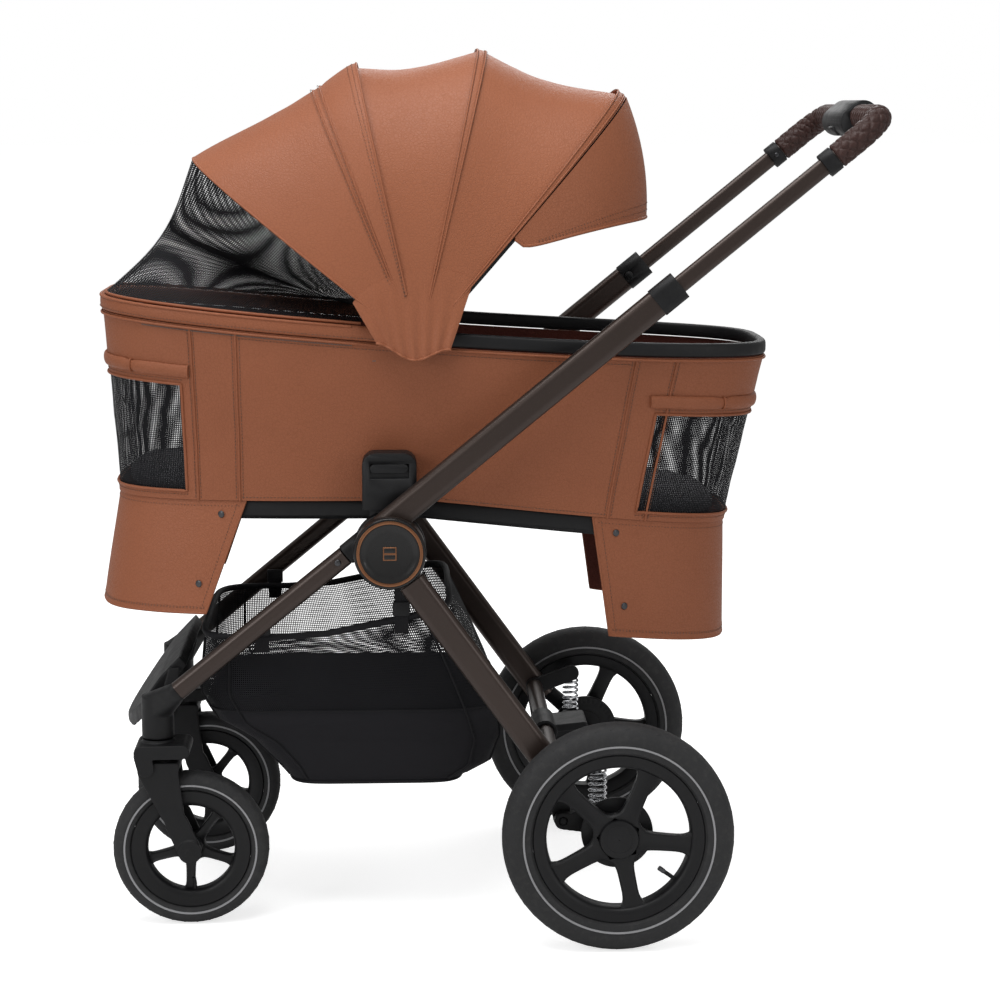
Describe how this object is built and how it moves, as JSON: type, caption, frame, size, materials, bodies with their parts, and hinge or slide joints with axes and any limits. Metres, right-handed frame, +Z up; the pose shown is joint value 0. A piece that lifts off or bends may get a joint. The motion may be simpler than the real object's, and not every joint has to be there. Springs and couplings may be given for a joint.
{
  "type": "pet stroller",
  "caption": "Folding wheeled frame with a lift-off leatherette cot, mesh windows, a hooped canopy, a basket and a telescoping push handle, for carrying a small pet.",
  "frame": {"origin": "the floor under the middle of the stroller, its wheels resting on Z = 0", "axes": "+Z up, +X towards the push handle at the rear, -Y the stroller's left side"},
  "size_m": [1.0071, 0.604, 1.1156],
  "materials": {
    "brown_tube": "brown metallic paint on aluminium tube",
    "black_plastic": "fine-grained moulded nylon",
    "wheel_plastic": "satin moulded wheel",
    "tyre_foam": "moulded rubber with a fine tread",
    "spring_steel": "plated spring wire",
    "soft_rubber": "soft rubber block",
    "bow_strip": "flat springy plastic strip",
    "black_cloth": "woven polyester and mesh",
    "grey_mesh": "open black mesh over grey lining",
    "grip_leather": "stitched dark brown leatherette",
    "tan_leatherette": "pebbled tan leatherette with stitched seams",
    "mattress_cloth": "soft padded lining cloth"
  },
  "bodies": {
    "front_frame": {"front_leg_left": "brown_tube", "front_leg_right": "brown_tube", "hub_housing_left": "black_plastic", "hub_housing_right": "black_plastic", "swivel_housing_left": "black_plastic", "swivel_housing_right": "black_plastic", "hub_caps": "black_plastic", "front_bridge": "black_plastic", "basket": "black_cloth"},
    "rear_frame": {"rear_leg_left": "brown_tube", "rear_leg_right": "brown_tube", "rear_bracket_left": "black_plastic", "rear_bracket_right": "black_plastic", "rear_spring_left": "spring_steel", "rear_spring_right": "spring_steel", "rear_cross_tube": "brown_tube"},
    "brake": {"brake_pedal": "black_plastic"},
    "handle_lower": {"handle_tube_left": "brown_tube", "handle_tube_right": "brown_tube", "handle_collars": "black_plastic"},
    "handle_upper": {"handle_loop": "brown_tube", "handle_clamps": "black_plastic", "handle_grips": "grip_leather", "handle_centre": "black_plastic"},
    "fold_release": {"fold_button": "black_plastic"},
    "cot": {"cot_body": "tan_leatherette", "cot_rim": "black_plastic", "cot_base": "black_plastic", "cot_brackets": "black_plastic", "mattress": "mattress_cloth", "cot_windows": "grey_mesh", "cot_skirts": "tan_leatherette", "bows_front": "bow_strip", "canopy_front": "tan_leatherette", "canopy_mesh": "grey_mesh", "canopy_middle": "tan_leatherette"},
    "canopy_middle_bow": {"bow_middle": "bow_strip", "canopy_rear": "tan_leatherette"},
    "canopy_rear_bow": {"bow_rear": "bow_strip", "canopy_visor": "tan_leatherette"},
    "rear_arm_body_left": {"rear_arm_left": "black_plastic"},
    "rear_wheel_left": {"rear_rim_left": "wheel_plastic", "rear_tyre_left": "tyre_foam"},
    "castor_left": {"fork_head_left": "black_plastic", "fork_pad_left": "soft_rubber"},
    "fork_body_left": {"fork_left": "black_plastic"},
    "front_wheel_left": {"front_rim_left": "wheel_plastic", "front_tyre_left": "tyre_foam"},
    "lock_left": {"lock_button_left": "black_plastic"},
    "lever_left": {"release_lever_left": "black_plastic"},
    "rear_arm_body_right": {"rear_arm_right": "black_plastic"},
    "rear_wheel_right": {"rear_rim_right": "wheel_plastic", "rear_tyre_right": "tyre_foam"},
    "castor_right": {"fork_head_right": "black_plastic", "fork_pad_right": "soft_rubber"},
    "fork_body_right": {"fork_right": "black_plastic"},
    "front_wheel_right": {"front_rim_right": "wheel_plastic", "front_tyre_right": "tyre_foam"},
    "lock_right": {"lock_button_right": "black_plastic"},
    "lever_right": {"release_lever_right": "black_plastic"}
  },
  "joints": [
    {"name": "handle_fold", "type": "hinge", "parent": "front_frame", "child": "handle_lower", "pos_m": [-0.127, 0, 0.498], "axis": [0, -1, 0], "range_deg": [0, 150]},
    {"name": "rear_fold", "type": "hinge", "parent": "front_frame", "child": "rear_frame", "pos_m": [-0.127, 0, 0.498], "axis": [0, 1, 0], "range_deg": [0, 50]},
    {"name": "handle_slide", "type": "slide", "parent": "handle_lower", "child": "handle_upper", "axis": [0.7738, 0, 0.6334], "range_m": [-0.12, 0]},
    {"name": "fold_button_press", "type": "slide", "parent": "handle_upper", "child": "fold_release", "axis": [0.7738, 0, 0.6334], "range_m": [0, 0.004], "stiffness_N_per_m": 500, "springref_m": -0.002},
    {"name": "cot_lift", "type": "slide", "parent": "front_frame", "child": "cot", "axis": [0, 0, 1], "range_m": [0, 0.3]},
    {"name": "canopy_middle_fold", "type": "hinge", "parent": "cot", "child": "canopy_middle_bow", "pos_m": [-0.09, 0, 0.748], "axis": [0, -1, 0], "range_deg": [0, 22], "deforming": ["canopy_middle"]},
    {"name": "canopy_rear_fold", "type": "hinge", "parent": "canopy_middle_bow", "child": "canopy_rear_bow", "pos_m": [-0.09, 0, 0.748], "axis": [0, -1, 0], "range_deg": [0, 22], "deforming": ["canopy_rear"]},
    {"name": "brake_press", "type": "hinge", "parent": "rear_frame", "child": "brake", "pos_m": [0.0787, 0, 0.2148], "axis": [0, 1, 0], "range_deg": [0, 20]},
    {"name": "lock_button_press_left", "type": "slide", "parent": "handle_lower", "child": "lock_left", "axis": [0, -1, 0], "range_m": [0, 0.002], "stiffness_N_per_m": 600, "springref_m": -0.002},
    {"name": "release_lever_pull_left", "type": "slide", "parent": "cot", "child": "lever_left", "axis": [0, 0, -1], "range_m": [0, 0.006], "stiffness_N_per_m": 400, "springref_m": -0.002},
    {"name": "castor_swivel_left", "type": "hinge", "parent": "front_frame", "child": "castor_left", "pos_m": [-0.425, -0.154, 0.272], "axis": [0, 0, 1], "continuous": true},
    {"name": "fork_suspension_left", "type": "hinge", "parent": "castor_left", "child": "fork_body_left", "pos_m": [-0.439, -0.154, 0.211], "axis": [0, -1, 0], "range_deg": [0, 5], "stiffness_Nm_per_rad": 40, "springref_deg": -8.59, "deforming": ["fork_pad_left"]},
    {"name": "front_wheel_spin_left", "type": "hinge", "parent": "fork_body_left", "child": "front_wheel_left", "pos_m": [-0.385, -0.154, 0.1], "axis": [0, 1, 0], "continuous": true},
    {"name": "rear_suspension_left", "type": "hinge", "parent": "rear_frame", "child": "rear_arm_body_left", "pos_m": [0.089, -0.239, 0.154], "axis": [0, -1, 0], "range_deg": [0, 8], "stiffness_Nm_per_rad": 30, "springref_deg": -17.19, "deforming": ["rear_spring_left"]},
    {"name": "rear_wheel_spin_left", "type": "hinge", "parent": "rear_arm_body_left", "child": "rear_wheel_left", "pos_m": [0.155, -0.28, 0.145], "axis": [0, 1, 0], "continuous": true},
    {"name": "lock_button_press_right", "type": "slide", "parent": "handle_lower", "child": "lock_right", "axis": [0, 1, 0], "range_m": [0, 0.002], "stiffness_N_per_m": 600, "springref_m": -0.002},
    {"name": "release_lever_pull_right", "type": "slide", "parent": "cot", "child": "lever_right", "axis": [0, 0, -1], "range_m": [0, 0.006], "stiffness_N_per_m": 400, "springref_m": -0.002},
    {"name": "castor_swivel_right", "type": "hinge", "parent": "front_frame", "child": "castor_right", "pos_m": [-0.425, 0.154, 0.272], "axis": [0, 0, 1], "continuous": true},
    {"name": "fork_suspension_right", "type": "hinge", "parent": "castor_right", "child": "fork_body_right", "pos_m": [-0.439, 0.154, 0.211], "axis": [0, -1, 0], "range_deg": [0, 5], "stiffness_Nm_per_rad": 40, "springref_deg": -8.59, "deforming": ["fork_pad_right"]},
    {"name": "front_wheel_spin_right", "type": "hinge", "parent": "fork_body_right", "child": "front_wheel_right", "pos_m": [-0.385, 0.154, 0.1], "axis": [0, 1, 0], "continuous": true},
    {"name": "rear_suspension_right", "type": "hinge", "parent": "rear_frame", "child": "rear_arm_body_right", "pos_m": [0.089, 0.239, 0.154], "axis": [0, -1, 0], "range_deg": [0, 8], "stiffness_Nm_per_rad": 30, "springref_deg": -17.19, "deforming": ["rear_spring_right"]},
    {"name": "rear_wheel_spin_right", "type": "hinge", "parent": "rear_arm_body_right", "child": "rear_wheel_right", "pos_m": [0.155, 0.28, 0.145], "axis": [0, 1, 0], "continuous": true}
  ],
  "couplings": [
    {"joint": "rear_fold", "follows": "handle_fold", "ratio": 0.33333}
  ]
}
